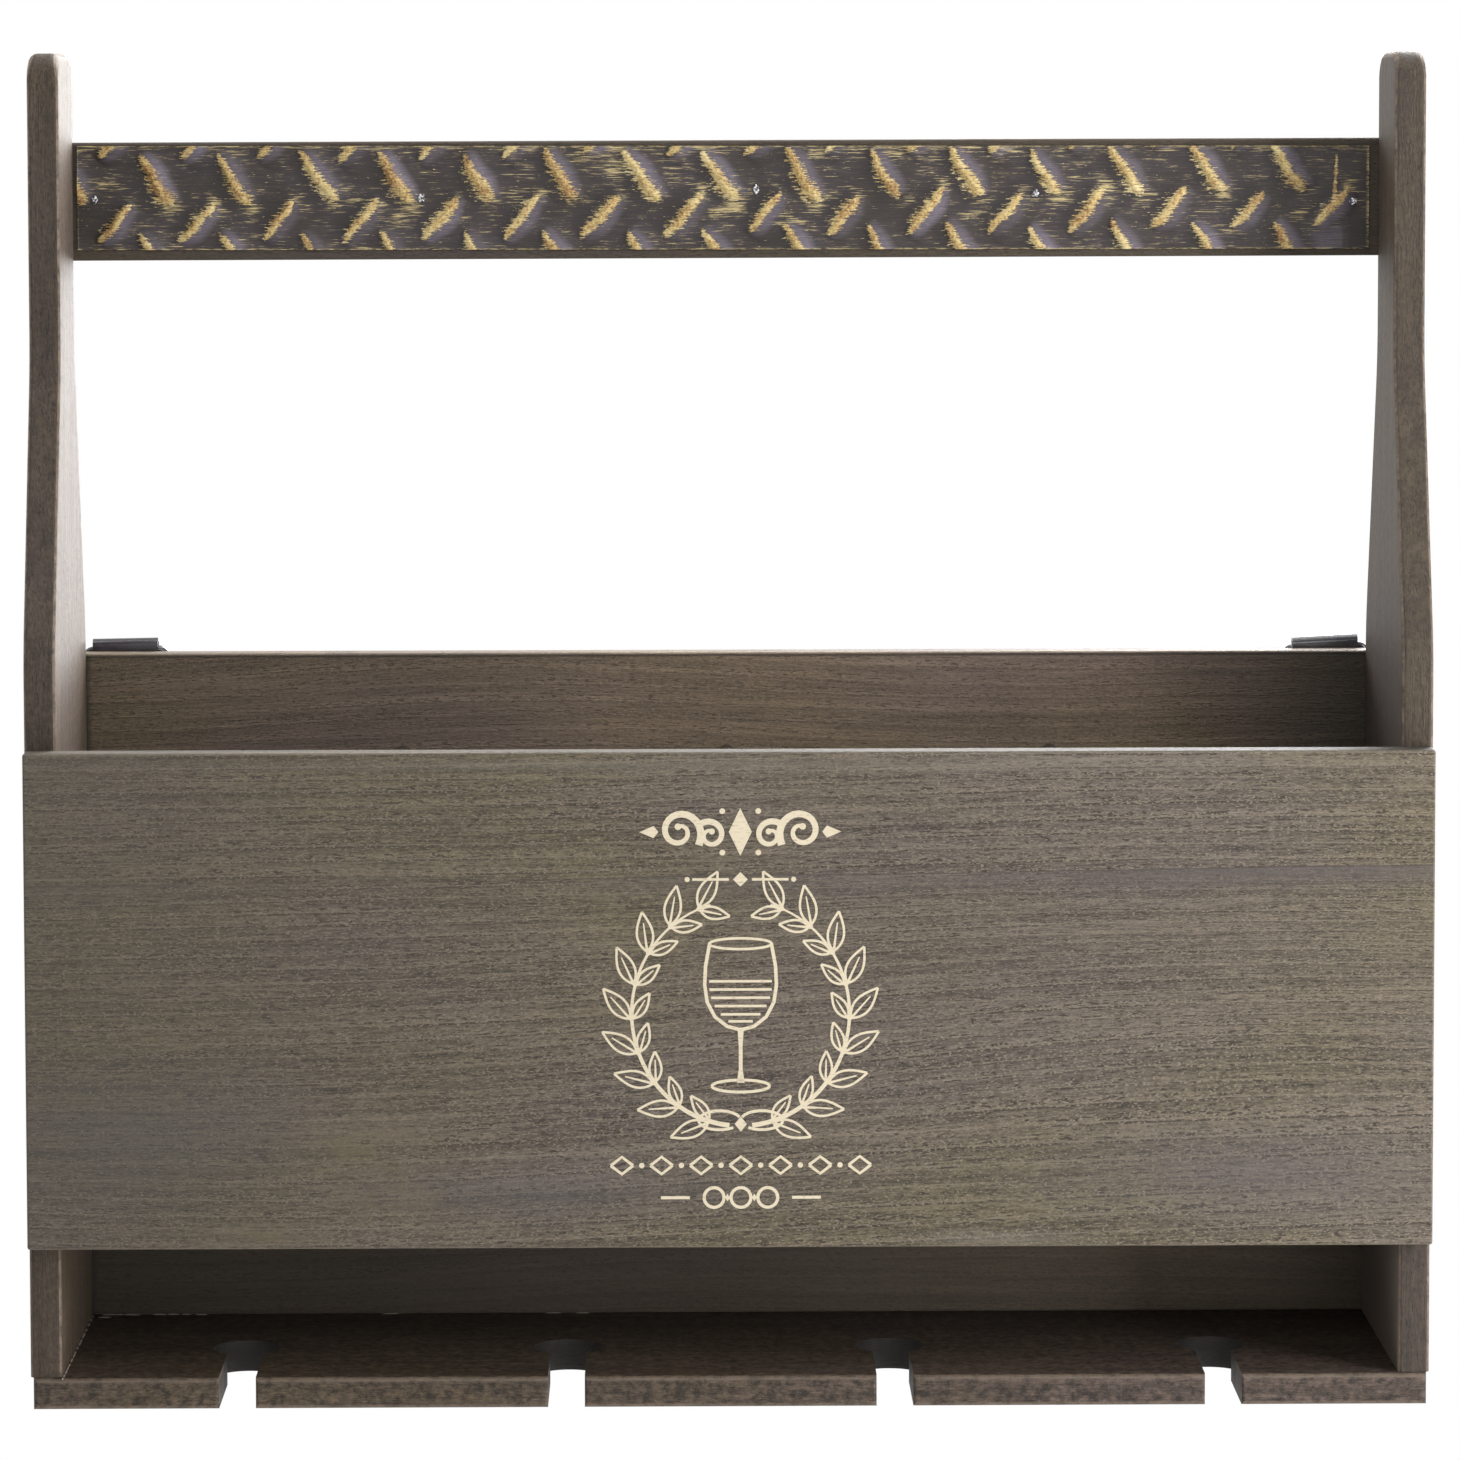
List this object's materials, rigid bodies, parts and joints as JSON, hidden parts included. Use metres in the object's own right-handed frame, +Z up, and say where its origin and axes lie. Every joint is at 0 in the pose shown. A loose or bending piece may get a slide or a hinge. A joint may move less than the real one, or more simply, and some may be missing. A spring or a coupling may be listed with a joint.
{
  "type": "wall-mounted wine rack",
  "caption": "Wall rack in stained boards: a divided bottle trough, a keyhole-slotted shelf that hangs stemmed glasses, a handle bar with an embossed strip, and D-rings behind.",
  "frame": {"origin": "on the plane of the back panel's back face and the shelf's back edge, on the centre line, level with the shelf's underside", "axes": "+Z up, +X to the right seen from the front, the front looks towards -Y and the wall is on the +Y side"},
  "size_m": [0.441, 0.1207, 0.426],
  "materials": {
    "front_wood": "grey-brown stain, matt, fine horizontal grain",
    "stained_wood": "grey-brown stain, matt",
    "dark_wood": "dark brown stain, matt",
    "bronzed_sheet": "dark bronze patina, brushed gold on the ridges",
    "nail_steel": "dull",
    "black_steel": "black, satin"
  },
  "bodies": {
    "rack": {"left_side_panel": "stained_wood", "right_side_panel": "stained_wood", "front_panel": "front_wood", "back_panel": "stained_wood", "bottle_floor": "dark_wood", "left_divider": "dark_wood", "middle_divider": "dark_wood", "right_divider": "dark_wood", "stemware_shelf": "stained_wood", "handle_bar": "dark_wood", "embossed_strip": "bronzed_sheet", "strip_nails": "nail_steel", "left_hanger_strap": "black_steel", "right_hanger_strap": "black_steel", "left_hanger_screws": "black_steel", "right_hanger_screws": "black_steel", "bar_screws": "black_steel", "back_panel_nails": "nail_steel", "shelf_screws": "black_steel"},
    "left_ring": {"left_hanger_ring": "black_steel"},
    "right_ring": {"right_hanger_ring": "black_steel"}
  },
  "joints": [
    {"name": "left_ring_swing", "type": "hinge", "parent": "rack", "child": "left_ring", "pos_m": [-0.1986, 0.00258, 0.23], "axis": [0.9998, 0, 0.0175], "range_deg": [0, 178]},
    {"name": "right_ring_swing", "type": "hinge", "parent": "rack", "child": "right_ring", "pos_m": [0.1986, 0.00258, 0.23], "axis": [0.9986, 0, 0.0523], "range_deg": [0, 178]}
  ]
}
